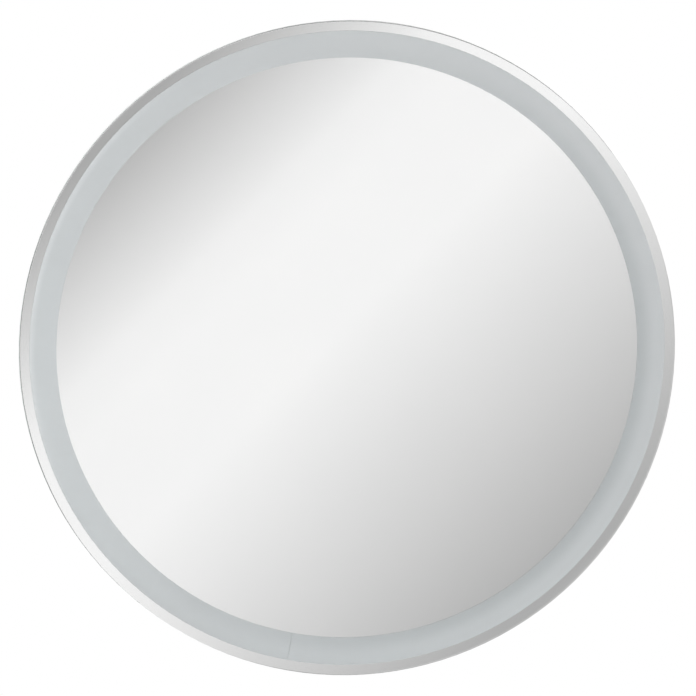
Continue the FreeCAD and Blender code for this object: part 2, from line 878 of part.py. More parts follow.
def hanger_rivets():
    body = new_body("hanger_rivets")
    points = hanger_rivet_points()
    rear = "hanger_flange_rear - rivet_head_height"
    discs(body, points, "hanger_rivet_head", rear, "hanger_flange_rear")
    discs(body, points, "hanger_rivet_radius", "hanger_flange_rear", "cover_front")
    discs(body, points, "hanger_rivet_tail", "cover_front", "cover_front + 2 * rivet_head_height")


# ---------------------------------------------------------------- terminal block

POLES = ("+ pole_pitch", "+ 0", "- pole_pitch")


def block_screw_points():
    return [("0", "hatch_height - pole_pitch / 2"), ("0", "hatch_height + pole_pitch / 2")]


def side_bores(body, heights, depth, radius, length):
    """Round holes along x, centred on the body, at each height."""
    sketch = new_sketch(body, "YZ_Plane")
    draw_circles(sketch, [(height, depth) for height in heights], radius)
    return pocket(body, sketch, length, both_ways=True)


def terminal_block():
    body = new_body("terminal_block")
    plate(body, "0", "hatch_height", "block_width", "block_length", "hatch_front", "block_front")
    for pole in POLES:
        window(body, "0", f"hatch_height {pole}", "well_width", "well_length", "clamp_rear",
               "block_front")
    side_bores(body, [f"hatch_height {pole}" for pole in POLES], "pole_level",
               "wire_radius + wire_bore_clearance", "2 * block_width")
    bores(body, block_screw_points(), "block_screw_radius + hole_clearance", "hatch_front",
          "block_front")


def terminal_clamps():
    body = new_body("terminal_clamps")
    heights = [f"hatch_height {pole}" for pole in POLES]
    for height in heights:
        plate(body, "0", height, "well_width - 2 * clamp_clearance",
              "well_length - 2 * clamp_clearance", "clamp_rear", "clamp_front")
    side_bores(body, heights, "pole_level", "clamp_bore", "2 * well_width")
    bores(body, clamp_screw_points(), "clamp_screw_radius + close_clearance", "pole_level",
          "clamp_front")


def clamp_screw_points():
    return [
        (f"{side} clamp_screw_spread / 2", f"hatch_height {pole}")
        for pole in POLES
        for side in ("0 -", "0 +")
    ]


def terminal_screws():
    body = new_body("terminal_screws")
    points = clamp_screw_points()
    seat = "clamp_front + hole_clearance"
    discs(body, points, "clamp_screw_radius", f"{seat} - clamp_screw_reach", seat)
    discs(body, points, "clamp_screw_head", seat, f"{seat} + clamp_screw_head_height")
    slot_in_head(body, points, "clamp_screw_head", f"{seat} + clamp_screw_head_height")


def block_screws():
    body = new_body("block_screws")
    points = block_screw_points()
    discs(body, points, "block_screw_radius", "hatch_rear", "block_front")
    discs(body, points, "block_screw_head", "block_front", "block_front + clamp_screw_head_height")
    slot_in_head(body, points, "block_screw_head", "block_front + clamp_screw_head_height")


# ---------------------------------------------------------------- driver

def driver_case():
    body = new_body("driver_case")
    across, up = "driver_across", "driver_height"
    inner = "driver_wall * 2"
    plate(body, across, up, "driver_length", "driver_width", "cover_front", "driver_front",
          "driver_corner")
    plate(body, across, up, "driver_length + 2 * driver_ear", "driver_ear_width", "cover_front",
          "cover_front + driver_ear_thickness", "driver_corner")
    window(body, across, up, f"driver_length - {inner}", f"driver_width - {inner}",
           "cover_front + driver_wall", "driver_front", "driver_corner - driver_wall")
    discs(body, board_boss_points(), "board_boss_radius", "cover_front + driver_wall", "board_rear")
    bores(body, driver_screw_points(), "screw_radius + hole_clearance", "cover_front",
          "cover_front + driver_ear_thickness")
    wire_hole(body, input_heights(), "wire_radius + hole_clearance", to_right=True)
    wire_hole(body, output_heights(), "led_wire_radius + hole_clearance", to_right=False)


def board_boss_points():
    spread = "2 * board_boss_inset"
    return corners_of("driver_across", "driver_height", f"driver_length - {spread}",
                      f"driver_width - {spread}")


def input_heights():
    return ["driver_height + driver_input_spread / 2", "driver_height - driver_input_spread / 2"]


def output_heights():
    return ["driver_height + driver_output_spread / 2", "driver_height - driver_output_spread / 2"]


def wire_hole(body, heights, radius, to_right):
    """Holes through one end wall of the driver's case."""
    sketch = new_sketch(body, "YZ_Plane", "driver_across")
    draw_circles(sketch, [(height, "driver_wire_level") for height in heights], radius)
    pocket(body, sketch, "driver_length", forwards=to_right)


def driver_lid():
    body = new_body("driver_lid")
    plate(body, "driver_across", "driver_height", "driver_length", "driver_width", "driver_front",
          "driver_front + driver_wall", "driver_corner")


def driver_board():
    body = new_body("driver_board")
    margin = "2 * (driver_wall + board_margin)"
    plate(body, "driver_across", "driver_height", f"driver_length - {margin}",
          f"driver_width - {margin}", "board_rear", "board_front")


def driver_transformer():
    """A ferrite core round its wound bobbin."""
    core = new_body("transformer_core")
    front = "board_front + transformer_height"
    plate(core, "driver_across", "driver_height", "transformer_length", "transformer_width",
          "board_front", front)
    window(core, "driver_across", "driver_height", "transformer_window", "coil_width",
           "board_front", front)
    coil = new_body("transformer_coil")
    plate(coil, "driver_across", "driver_height", "transformer_window - 2 * hole_clearance",
          "coil_width - 2 * hole_clearance", "board_front", front, "driver_wall")


def driver_capacitors():
    body = new_body("driver_capacitors")
    centres = [("driver_across + driver_length / 4", "driver_height + driver_width / 5"),
               ("driver_across + driver_length / 4", "driver_height - driver_width / 5"),
               ("driver_across - driver_length / 4", "driver_height")]
    discs(body, centres, "capacitor_radius", "board_front", "board_front + capacitor_height")


def driver_connectors():
    """The screwless connectors on the board that the wires push into."""
    body = new_body("driver_connectors")
    inset = "driver_wall + board_margin + connector_depth / 2"
    centres = [("driver_right - (" + inset + ")", height) for height in input_heights()]
    centres += [("driver_left + " + inset, "driver_height")]
    widths = ["connector_width"] * 2 + ["connector_width + driver_output_spread"]
    for (across, up), width in zip(centres, widths):
        plate(body, across, up, "connector_depth", width, "board_front",
              "driver_wire_level + 2 * wire_radius")


def driver_screws():
    body = new_body("driver_screws")
    points = driver_screw_points()
    seat = "cover_front + driver_ear_thickness"
    discs(body, points, "screw_radius", f"{seat} - driver_screw_length", seat)
    discs(body, points, "screw_head_radius", seat, f"{seat} + screw_head_height")
    slot_in_head(body, points, "screw_head_radius", f"{seat} + screw_head_height")


# ---------------------------------------------------------------- earth point

def earth_point():
    stud = new_body("earth_stud", "earth_across", "earth_height")
    discs(stud, [("0", "0")], "stud_head_radius", "cover_front", "lug_rear")
    discs(stud, [("0", "0")], "stud_radius", "lug_rear", "lug_rear + stud_length")

    bore = "stud_radius + stud_clearance"
    lug = new_body("earth_lug", "earth_across", "earth_height")
    lug_front = "lug_rear + lug_sheet"
    discs(lug, [("0", "0")], "lug_radius", "lug_rear", lug_front)
    reach = "lug_radius + stud_clearance + lug_barrel_length"
    plate(lug, "0", f"({reach}) / 2", "2 * lug_barrel_radius", reach, "lug_rear", lug_front)
    plate(lug, "0", f"{reach} - lug_barrel_length / 2", "2 * lug_barrel_radius",
          "lug_barrel_length", "lug_rear", "lug_rear + 2 * lug_barrel_radius")
    bores(lug, [("0", "0")], bore, "lug_rear", lug_front)

    nut = new_body("earth_nut", "earth_across", "earth_height")
    sketch = new_sketch(nut, "XY_Plane", lug_front)
    across_corners = "nut_width / sqrt(3)"
    draw_outline(sketch, [
        (f"{across_corners} * cos({60 * corner})", f"{across_corners} * sin({60 * corner})")
        for corner in range(6)
    ])
    pad(nut, sketch, "nut_height")
    bores(nut, [("0", "0")], bore, lug_front, f"{lug_front} + nut_height")


# ---------------------------------------------------------------- rocker switch

def switch_body():
    """Drawn with x along the switch, y towards the mirror's centre, z in depth."""
    body = new_body("switch_body")
    half = "switch_length / 2"
    shell = new_sketch(body, "XY_Plane", "switch_centre")
    latch = "frame_inner - latch_gap"
    right = [
        (half, "-bezel_inner"),
        (half, f"-({latch})"),
        (f"{half} + latch_reach", f"-({latch})"),
        (half, f"latch_length - ({latch})"),
        (half, "-switch_inner"),
    ]
    left = [(f"-({across})", up) for across, up in reversed(right)]
    draw_outline(shell, right + left)
    pad(body, shell, "switch_width", both_ways=True)
    bezel = new_sketch(body, "XY_Plane", "switch_centre")
    draw_rectangle(bezel, "0", "-(bezel_inner + bezel_outer) / 2", "bezel_length", "bezel_thickness")
    pad(body, bezel, "bezel_width", both_ways=True)
    cavity = new_sketch(body, "XY_Plane", "switch_centre")
    floor = "switch_inner + switch_floor"
    draw_rectangle(cavity, "0", f"-(bezel_outer + {floor}) / 2",
                   "rocker_length + 2 * rocker_end_clearance", f"bezel_outer - ({floor})")
    pocket(body, cavity, "rocker_width + 2 * rocker_side_clearance", both_ways=True)
    pivots = new_sketch(body, "XY_Plane", "switch_centre")
    draw_circles(pivots, [("0", "-pivot_radius")], "trunnion_radius + close_clearance")
    pocket(body, pivots, "rocker_width + 2 * (trunnion_length + close_clearance)", both_ways=True)
    for side in ("-", "+"):
        slots = new_sketch(body, "XY_Plane", f"switch_centre {side} tab_spread / 2")
        draw_rectangle(slots, "tab_across", f"-(switch_inner + {floor}) / 2",
                       "tab_width + 2 * close_clearance", "2 * switch_floor")
        pocket(body, slots, "tab_sheet + 2 * close_clearance", both_ways=True)


def switch_rocker():
    """Modelled level about its pivot, then tilted by its placement to off."""
    body = rocker_frame("switch_rocker")
    half, skirt = "rocker_length / 2", "rocker_skirt"
    sketch = new_sketch(body, "XY_Plane")
    draw_outline(sketch, [
        ("0", "-pivot_depth"),
        (half, "-pivot_depth - rocker_crest"),
        (half, "0"),
        (f"{half} - rocker_chamfer", skirt),
        (f"-({half} - rocker_chamfer)", skirt),
        (f"-({half})", "0"),
        (f"-({half})", "-pivot_depth - rocker_crest"),
    ])
    pad(body, sketch, "rocker_width", both_ways=True)
    trunnions = new_sketch(body, "XY_Plane")
    draw_circles(trunnions, [("0", "0")], "trunnion_radius")
    pad(body, trunnions, "rocker_width + 2 * trunnion_length", both_ways=True)


def rocker_frame(label):
    """A body on the rocker's pivot, in the rocker's off position."""
    return new_body(label, "0", "0 - pivot_radius", "0 - rocker_tilt", "switch_centre")


def switch_bridge():
    """The contact bridge under the rocker, which closes on both tabs."""
    body = rocker_frame("switch_bridge")
    sketch = new_sketch(body, "XY_Plane")
    draw_rectangle(sketch, "tab_across", "rocker_skirt + bridge_sheet / 2", "bridge_length",
                   "bridge_sheet")
    pad(body, sketch, "tab_spread + tab_sheet", both_ways=True)


def switch_tabs():
    """Two flat tabs, from the contact points out through the switch's floor."""
    body = new_body("switch_tabs")
    corner_up = "tab_across + bridge_length / 2"
    rise = f"({corner_up}) * sin(rocker_tilt) + (rocker_skirt + bridge_sheet) * cos(rocker_tilt)"
    contact = f"(pivot_radius - ({rise}) - contact_gap)"
    for side in ("-", "+"):
        sketch = new_sketch(body, "XY_Plane", f"switch_centre {side} tab_spread / 2")
        draw_rectangle(sketch, "tab_across", f"-({contact} + tab_end) / 2", "tab_width",
                       f"{contact} - tab_end")
        pad(body, sketch, "tab_sheet", both_ways=True)


# ---------------------------------------------------------------- wires

def spot(across, up, depth):
    return Vector(number(across), number(up), number(depth))


def on_feed_line(radius, aside, depth):
    """A point near the line on which the light ring is fed."""
    along = (f"({radius}) * cos(feed_angle)", f"({radius}) * sin(feed_angle)")
    return spot(f"{along[0]} - ({aside}) * sin(feed_angle)",
                f"{along[1]} + ({aside}) * cos(feed_angle)", depth)


def wire_path(points, label):
    """Straight runs joined by tangent arcs, as wide as the runs allow."""
    edges = []
    radii = []
    start = points[0]
    for before, corner, after in zip(points, points[1:], points[2:]):
        incoming = corner - before
        outgoing = after - corner
        reach = 0.45 * min(incoming.Length, outgoing.Length)
        half_turn = incoming.getAngle(outgoing) / 2
        radius = reach / math.tan(half_turn)
        incoming.normalize()
        outgoing.normalize()
        inwards = (outgoing - incoming).normalize()
        arc_start = corner - incoming * reach
        arc_end = corner + outgoing * reach
        arc_middle = corner + inwards * (radius / math.cos(half_turn) - radius)
        edges.append(Part.LineSegment(start, arc_start).toShape())
        edges.append(Part.Arc(arc_start, arc_middle, arc_end).toShape())
        radii.append(round(radius, 1))
        start = arc_end
    edges.append(Part.LineSegment(start, points[-1]).toShape())
    print(label, "bend radii", radii)
    return Part.Wire(edges)


def wire(label, points, radius_name):
    """An insulated wire along its whole route."""
    radius = number(radius_name)
    path = wire_path(points, label)
    profile = Part.Wire([Part.Circle(points[0], points[1] - points[0], radius).toShape()])
    tube = path.makePipeShell([profile], True, False)
    expected = math.pi * radius**2 * path.Length
    if abs(tube.Volume - expected) > 0.01 * expected:
        raise RuntimeError(f"{label}: volume {tube.Volume} differs from {expected}")
    feature = doc.addObject("Part::Feature", label)
    feature.Label = label
    feature.Shape = tube
    upright = Rotation(Vector(1, 0, 0), 90)
    feature.Placement = Placement(Vector(0, 0, -number("hang_drop")), upright)
    sub_parts.append(feature)


LAID = "cover_front + wire_radius + wire_lift"
LED_LAID = "cover_front + led_wire_radius + wire_lift"
BLOCK_ENTRY = "0 - well_width / 2 - wire_end_gap"
BLOCK_SIDE = "0 - block_width / 2"
DRIVER_ENTRY = "driver_right - driver_wall - board_margin + wire_end_gap"


def block_to_driver_wire():
    level = input_heights()[0]
    pole = "hatch_height + pole_pitch"
    wire("wire_neutral", [
        spot(BLOCK_ENTRY, pole, "pole_level"),
        spot(BLOCK_SIDE + " - 8", pole, "pole_level"),
        spot("driver_right + 18", f"{level} + 1", "driver_wire_level - 3"),
        spot("driver_right + 9", level, "driver_wire_level"),
        spot(DRIVER_ENTRY, level, "driver_wire_level"),
    ], "wire_radius")


def down(share):
    """A height at a share of the way from the hatch down to the switch's tabs."""
    return f"hatch_height - {share} * (hatch_height + tab_end)"


def duct_points(side):
    """The stretch down the cover that the two switch wires share."""
    sways = ((0.2, 0), (0.36, 1), (0.52, 0), (0.68, 2))
    return [
        spot(f"0 - duct_across {side} duct_spread + {sway}", down(share), LAID)
        for share, sway in sways
    ]


def live_wire():
    tab_front = "switch_centre + tab_spread / 2"
    wire("wire_live", [
        spot(BLOCK_ENTRY, "hatch_height", "pole_level"),
        spot(BLOCK_SIDE + " - 7", "hatch_height", "pole_level"),
        spot("12 - duct_across", "hatch_height - 4", "pole_level - 2"),
        spot("5 - duct_across", down(0.08), LAID + " + 1"),
        *duct_points("+"),
        spot("18 - duct_across", down(0.8), LAID + " + 1"),
        spot("-4", down(0.89), "switch_centre"),
        spot("tab_across", "20 - tab_end", tab_front),
        spot("tab_across", "wire_end_gap - tab_end", tab_front),
    ], "wire_radius")


def switched_wire():
    tab_rear = "switch_centre - tab_spread / 2"
    level = input_heights()[1]
    wire("wire_switched", [
        spot("tab_across", "wire_end_gap - tab_end", tab_rear),
        spot("tab_across", "14 - tab_end", tab_rear),
        spot("-7", down(0.89), LAID + " + 1"),
        spot("13 - duct_across", down(0.81), LAID),
        *reversed(duct_points("-")),
        spot("-1 - duct_across", down(0.09), LAID + " + 2"),
        spot("driver_right + 12.5", f"{level} - 6", "driver_wire_level - 2"),
        spot("driver_right + 7.5", level, "driver_wire_level"),
        spot(DRIVER_ENTRY, level, "driver_wire_level"),
    ], "wire_radius")


def earth_wire():
    lug_end = "earth_height + lug_radius + stud_clearance + lug_barrel_length"
    level = "lug_rear + lug_barrel_radius"
    pole = "hatch_height - pole_pitch"
    wire("wire_earth", [
        spot(BLOCK_ENTRY, pole, "pole_level"),
        spot(BLOCK_SIDE + " - 6", pole, "pole_level"),
        spot("earth_across", f"{pole} - 9", f"{level} + 1"),
        spot("earth_across", f"{lug_end} + wire_end_gap", level),
    ], "wire_radius")


def on_cover(angle, radius):
    return f"({radius}) * cos({angle})", f"({radius}) * sin({angle})"


def led_wire(label, output, side, tape_height):
    """A feed from the driver, round the cover and up to the tape's end."""
    level = output_heights()[output]
    aside = f"(0 {side} led_wire_spread)"
    run = [(186, 6), (198, 0), (212, -2), (225, 0), (239, -3), (250.5, -8)]
    wire(label, [
        spot("driver_left + driver_wall + board_margin - wire_end_gap", level, "driver_wire_level"),
        spot("driver_left - 8", level, "driver_wire_level"),
        spot(f"driver_left - 20 + {aside}", "driver_height - 22", LED_LAID + " + 1"),
        *[spot(*on_cover(angle, f"tray_bore - led_run_inset - {sway} - {aside}"), LED_LAID)
          for angle, sway in run],
        on_feed_line(f"tray_bore - 18 - {aside}", aside, LED_LAID + " + 0.6"),
        on_feed_line("tray_bore - 4", aside, "floor_rear - 6"),
        on_feed_line("wall_ring_outer + 14", aside, tape_height),
        on_feed_line("tape_seat - 8", "tape_opening / 2", tape_height),
        on_feed_line("tape_face - solder_gap", "tape_opening / 2 + 1.2", tape_height),
    ], "led_wire_radius")


def led_wires():
    tape_middle = "floor_front + tape_margin + tape_width / 2"
    led_wire("wire_led_plus", 0, "-", f"{tape_middle} - tape_width / 4")
    led_wire("wire_led_minus", 1, "+", f"{tape_middle} + tape_width / 4")


def cable_clips():
    """Saddles that hold the wire pairs down on the cover."""
    body = new_body("cable_clips")
    places = [("0 - duct_across", down(share)) for share in (0.26, 0.44, 0.63)]
    places += [on_cover(192, "tray_bore - led_run_inset - 3")]
    outer = "clip_opening + 2 * clip_wall"
    front = "cover_front + clip_clear"
    for across, up in places:
        sketch = new_sketch(body, "XZ_Plane", f"0 - ({up})")
        left, right = f"{across} - ({outer}) / 2", f"{across} + ({outer}) / 2"
        inner_left, inner_right = f"{left} + clip_wall", f"{right} - clip_wall"
        draw_outline(sketch, [
            (left, "cover_front"),
            (inner_left, "cover_front"),
            (inner_left, front),
            (inner_right, front),
            (inner_right, "cover_front"),
            (right, "cover_front"),
            (right, f"{front} + clip_wall"),
            (left, f"{front} + clip_wall"),
        ])
        pad(body, sketch, "clip_length", both_ways=True)


# ---------------------------------------------------------------- check and write

def check_document():
    doc.recompute()
    for item in doc.Objects:
        if "Invalid" in item.State or "Error" in item.State:
            raise RuntimeError(f"{item.Label} is not valid: {item.State}")
        if item.TypeId in ("PartDesign::Pocket", "PartDesign::Groove"):
            taken = item.BaseFeature.Shape.Volume - item.Shape.Volume
            if taken < 1e-3:
                raise RuntimeError(f"{item.Label} cuts nothing")
    for item in sub_parts:
        if item.Shape.isNull() or not item.Shape.isValid():
            raise RuntimeError(f"{item.Label} has no valid shape")


def write_parts():
    os.makedirs("parts", exist_ok=True)
    for item in sub_parts:
        item.Shape.exportStep(f"parts/{item.Label}.step")
        print(f"{item.Label}: {len(item.Shape.Solids)} solids, {item.Shape.Volume:.0f} mm3")


fill_sheet()
for make in (
    glass_disc, silver_coat, foam_tape, diffuser_ring, reflector_tray, light_seal, led_tape,
    led_chips, frame_ring, frame_joint_plate, frame_rivets, rear_cover, cover_screws,
    service_hatch, hatch_gasket, hatch_screws, cable_grommet, wall_bumpers, wall_rail,
    hanger_rail, hanger_rivets, terminal_block, terminal_clamps, terminal_screws, block_screws,
    driver_case, driver_lid, driver_board, driver_transformer, driver_capacitors,
    driver_connectors, driver_screws, earth_point, switch_body, switch_rocker, switch_bridge,
    switch_tabs, block_to_driver_wire, live_wire, switched_wire, earth_wire, led_wires,
    cable_clips,
):
    make()
check_document()
write_parts()
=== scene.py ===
import json
import math

import bpy
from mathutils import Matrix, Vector


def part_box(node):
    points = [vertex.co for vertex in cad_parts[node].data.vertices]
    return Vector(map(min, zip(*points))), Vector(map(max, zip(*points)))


# The looks of a round lighted mirror, seen from a little below and to the right.
# Lengths are metres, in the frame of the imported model: x right, y into the wall,
# z up. Material coordinates are object coordinates, which are those same metres.

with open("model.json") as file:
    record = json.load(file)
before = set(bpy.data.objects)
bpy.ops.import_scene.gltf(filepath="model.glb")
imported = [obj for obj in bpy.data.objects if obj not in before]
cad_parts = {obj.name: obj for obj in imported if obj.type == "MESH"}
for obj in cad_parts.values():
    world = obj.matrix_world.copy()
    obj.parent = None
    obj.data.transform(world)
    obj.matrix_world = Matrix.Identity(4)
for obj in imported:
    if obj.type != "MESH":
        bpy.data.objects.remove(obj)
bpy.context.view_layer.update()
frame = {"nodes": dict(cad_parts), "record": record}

GLASS_LOW, GLASS_HIGH = (Vector(corner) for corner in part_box("glass_disc"))
MIDDLE = (GLASS_LOW + GLASS_HIGH) / 2
CENTRE = Vector((MIDDLE.x, GLASS_LOW.y, MIDDLE.z))


def radius_of(node):
    low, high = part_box(node)
    return (high[0] - low[0]) / 2


GLASS_RADIUS = radius_of("glass_disc")
RING_INNER = radius_of("silver_centre")
RING_OUTER = radius_of("diffuser_ring")

# The glass: its tint fades in over this last part of its radius, in metres
GLASS_TINT_REACH = 0.0001
GLASS_TINT = (0.72, 0.87, 0.81)
GLASS_INDEX = 1.44

# The frosted ring: colours, sides in degrees from the right, reaches in metres. The first
# five colours are painted light and shade: the shaded and lit tones, the shade on the flanks
# and at the inner edge, and the highlight.
RING_SHADED_TONE = (0.437, 0.452, 0.460)
RING_LIT_TONE = (0.465, 0.493, 0.503)
RING_FLANK_SHADE = (0.405, 0.425, 0.433)
RING_EDGE_SHADE = (0.340, 0.361, 0.370)
RING_HIGHLIGHT = (0.545, 0.567, 0.575)
RING_LINE = (0.35, 0.38, 0.385)
LIT_SIDE = 238
SHADE_SIDE = 340
PALE_AXIS = 150
BRIGHT_SIDE = 165
SHADE_FULL = 0.001
SHADE_REACH = 0.0175
OUTER_REACH = 0.007
JOINT_ANGLE = 259.5
JOINT_HALF_WIDTH = 0.0016

# Camera
CAMERA_AWAY = Vector((0.6156, -5.926, -0.708))
CAMERA_LENS = 341
SENSOR_WIDTH = 36
AIM_RIGHT = 0.00272
AIM_DOWN = 0.00233

# Studio: the floor is lit up to one distance from its middle, and white from the next
FLOOR_LEVEL = -6
FLOOR_SIZE = 40
FLOOR_LIT_TO, FLOOR_WHITE_FROM = 1.2, 6.0
SKY_LIGHT = 0.5
CARD_DISTANCE = 2.5
CARD_LEFT, CARD_RIGHT = -2.6, 2.0
CARD_LOW, CARD_HIGH = -0.78, 2.6


# ---------------------------------------------------------------- node helpers

# Noise textures stay mostly between these values
NOISE_LOW, NOISE_HIGH = 0.3, 0.7


class Recipe:
    """A procedural material: one Principled shader and the nodes that feed it."""

    def __init__(self, name):
        self.material = bpy.data.materials.new(name)
        self.material.use_nodes = True
        self.tree = self.material.node_tree
        self.shader = self.tree.nodes["Principled BSDF"]
        self.output = self.tree.nodes["Material Output"]
        self.place = self.node("ShaderNodeTexCoord").outputs["Object"]

    def node(self, kind, **settings):
        node = self.tree.nodes.new(kind)
        for name, value in settings.items():
            setattr(node, name, value)
        return node

    def feed(self, socket, source):
        """Gives an input socket a value, or links another node's output to it."""
        if isinstance(source, bpy.types.NodeSocket):
            self.tree.links.new(source, socket)
        else:
            socket.default_value = source

    def set(self, **values):
        for name, value in values.items():
            self.feed(self.shader.inputs[name.replace("_", " ")], value)

    def math(self, operation, first, second=0.0):
        node = self.node("ShaderNodeMath", operation=operation)
        self.feed(node.inputs[0], first)
        self.feed(node.inputs[1], second)
        return node.outputs[0]

    def vector_math(self, operation, first, second):
        node = self.node("ShaderNodeVectorMath", operation=operation)
        self.feed(node.inputs[0], first)
        self.feed(node.inputs[1], second)
        return node.outputs[0 if operation not in ("LENGTH", "DOT_PRODUCT") else 1]

    def stretched(self, x, y, z):
        return self.vector_math("MULTIPLY", self.place, (x, y, z))

    def across_the_mirror(self):
        """The place in the mirror's plane, from its centre."""
        from_centre = self.vector_math("SUBTRACT", self.place, CENTRE)
        return self.vector_math("MULTIPLY", from_centre, (1, 0, 1))

    def noise(self, scale, detail=3.0, roughness=0.5, vector=None):
        node = self.node("ShaderNodeTexNoise")
        self.feed(node.inputs["Vector"], self.place if vector is None else vector)
        self.feed(node.inputs["Scale"], scale)
        self.feed(node.inputs["Detail"], detail)
        self.feed(node.inputs["Roughness"], roughness)
        return node.outputs["Fac"]

    def fit(self, value, low, high, to_low, to_high, smooth=False):
        """Maps a value from one range to another, clamped at its ends."""
        node = self.node("ShaderNodeMapRange")
        node.interpolation_type = "SMOOTHSTEP" if smooth else "LINEAR"
        for name, amount in zip(("Value", "From Min", "From Max", "To Min", "To Max"),
                                (value, low, high, to_low, to_high)):
            self.feed(node.inputs[name], amount)
        return node.outputs["Result"]

    def spread(self, noise, top=1):
        """Stretches the middle of a noise texture to run from 0 to the top."""
        return self.fit(noise, NOISE_LOW, NOISE_HIGH, 0, top)

    def blend(self, factor, first, second):
        node = self.node("ShaderNodeMix", data_type="RGBA")
        self.feed(node.inputs["Factor"], factor)
        self.feed(node.inputs["A"], opaque(first))
        self.feed(node.inputs["B"], opaque(second))
        return node.outputs["Result"]

    def bump(self, height, distance):
        node = self.node("ShaderNodeBump")
        self.feed(node.inputs["Height"], height)
        self.feed(node.inputs["Distance"], distance)
        self.feed(self.shader.inputs["Normal"], node.outputs["Normal"])


def opaque(color):
    return color if isinstance(color, bpy.types.NodeSocket) else (*color[:3], 1.0)


def shade(color, factor):
    return tuple(min(1.0, channel * factor) for channel in color[:3])


def linear(level):
    """The linear value of an 8-bit display level."""
    value = level / 255
    return value / 12.92 if value <= 0.04045 else ((value + 0.055) / 1.055) ** 2.4


# ---------------------------------------------------------------- finishes

# Sizes in the finishes, in metres
PATCH_SIZE = 0.03
BRUSHED_DEPTH = 0.000004
SPANGLE_SIZE = 0.0035
SPANGLE_DEPTH = 0.000005
SPANGLE_ROUGHNESS = 0.4


def moulded(name, color, roughness, grain, depth):
    """Plastic or rubber with a fine moulded grain and faint cloudy patches."""
    recipe = Recipe(name)
    cloud = recipe.noise(1 / PATCH_SIZE, 4)
    grit = recipe.noise(1 / grain, 2)
    tone = recipe.blend(recipe.spread(cloud), shade(color, 0.94), shade(color, 1.05))
    fleck = recipe.blend(recipe.fit(grit, 0.35, NOISE_HIGH, 0, 0.25), tone, shade(color, 0.82))
    recipe.set(Base_Color=fleck)
    recipe.set(Roughness=recipe.fit(grit, NOISE_LOW, NOISE_HIGH,
                                    roughness - 0.06, roughness + 0.08))
    recipe.bump(grit, depth)
    return recipe.material


def brushed(name, color, roughness, lines_per_metre, metal):
    """Drawn or brushed metal. Its lines run along an axis with few lines per metre."""
    recipe = Recipe(name)
    lines = recipe.noise(1.0, 4, 0.65, recipe.stretched(*lines_per_metre))
    smudge = recipe.noise(22, 3)
    tone = recipe.blend(recipe.spread(lines), shade(color, 0.9), shade(color, 1.06))
    tone = recipe.blend(recipe.fit(smudge, 0.4, 0.75, 0, 0.3), tone, shade(color, 0.86))
    recipe.set(Base_Color=tone, Metallic=metal)
    recipe.set(Roughness=recipe.fit(lines, 0.25, 0.75, roughness - 0.07, roughness + 0.1))
    recipe.bump(lines, BRUSHED_DEPTH)
    return recipe.material


def spangled(name, color):
    """Hot-dip galvanised sheet: flat crystals that each catch the light apart."""
    recipe = Recipe(name)
    warp = recipe.noise(120, 3)
    crystal = recipe.node("ShaderNodeTexVoronoi", feature="F1", voronoi_dimensions="3D")
    recipe.feed(crystal.inputs["Vector"], recipe.place)
    recipe.feed(crystal.inputs["Scale"], 1 / SPANGLE_SIZE)
    recipe.feed(crystal.inputs["Randomness"], 1.0)
    grey = recipe.node("ShaderNodeRGBToBW")
    recipe.feed(grey.inputs[0], crystal.outputs["Color"])
    value = grey.outputs[0]
    tone = recipe.blend(recipe.fit(value, 0.2, 0.8, 0, 1), shade(color, 0.94), shade(color, 1.05))
    tone = recipe.blend(recipe.fit(warp, 0.35, 0.7, 0, 0.3), tone, shade(color, 0.93))
    recipe.set(Base_Color=tone, Metallic=0.7)
    recipe.set(Roughness=recipe.fit(value, 0.2, 0.8,
                                    SPANGLE_ROUGHNESS - 0.05, SPANGLE_ROUGHNESS + 0.06))
    recipe.bump(recipe.math("ADD", value, recipe.math("MULTIPLY", warp, 0.5)), SPANGLE_DEPTH)
    return recipe.material


def clear_glass():
    """Float glass with a green cast towards its edge."""
    recipe = Recipe("clear_glass")
    radius = recipe.vector_math("LENGTH", recipe.across_the_mirror(), (0, 0, 0))
    edge = recipe.fit(radius, GLASS_RADIUS - GLASS_TINT_REACH, GLASS_RADIUS, 0, 1)
    wave = recipe.noise(9, 2)
    body = recipe.blend(recipe.spread(wave), (0.988, 0.990, 0.989), (0.992, 0.993, 0.992))
    recipe.set(Base_Color=recipe.blend(edge, body, GLASS_TINT))
    recipe.set(Roughness=0.0, IOR=GLASS_INDEX, Transmission_Weight=1.0)
    see_through = recipe.node("ShaderNodeBsdfTransparent")
    rays = recipe.node("ShaderNodeLightPath")
    mix = recipe.node("ShaderNodeMixShader")
    recipe.feed(mix.inputs[0], rays.outputs["Is Shadow Ray"])
    recipe.feed(mix.inputs[1], recipe.shader.outputs[0])
    recipe.feed(mix.inputs[2], see_through.outputs[0])
    recipe.feed(recipe.output.inputs["Surface"], mix.outputs[0])
    return recipe.material


def silvering():
    """The mirror's silver coat, with a trace of unevenness in its tone."""
    recipe = Recipe("silvering")
    drift = recipe.noise(5, 2)
    tone = recipe.blend(recipe.spread(drift), (0.938, 0.936, 0.936), (0.948, 0.946, 0.946))
    recipe.set(Base_Color=tone, Metallic=1.0, Roughness=0.0)
    return recipe.material


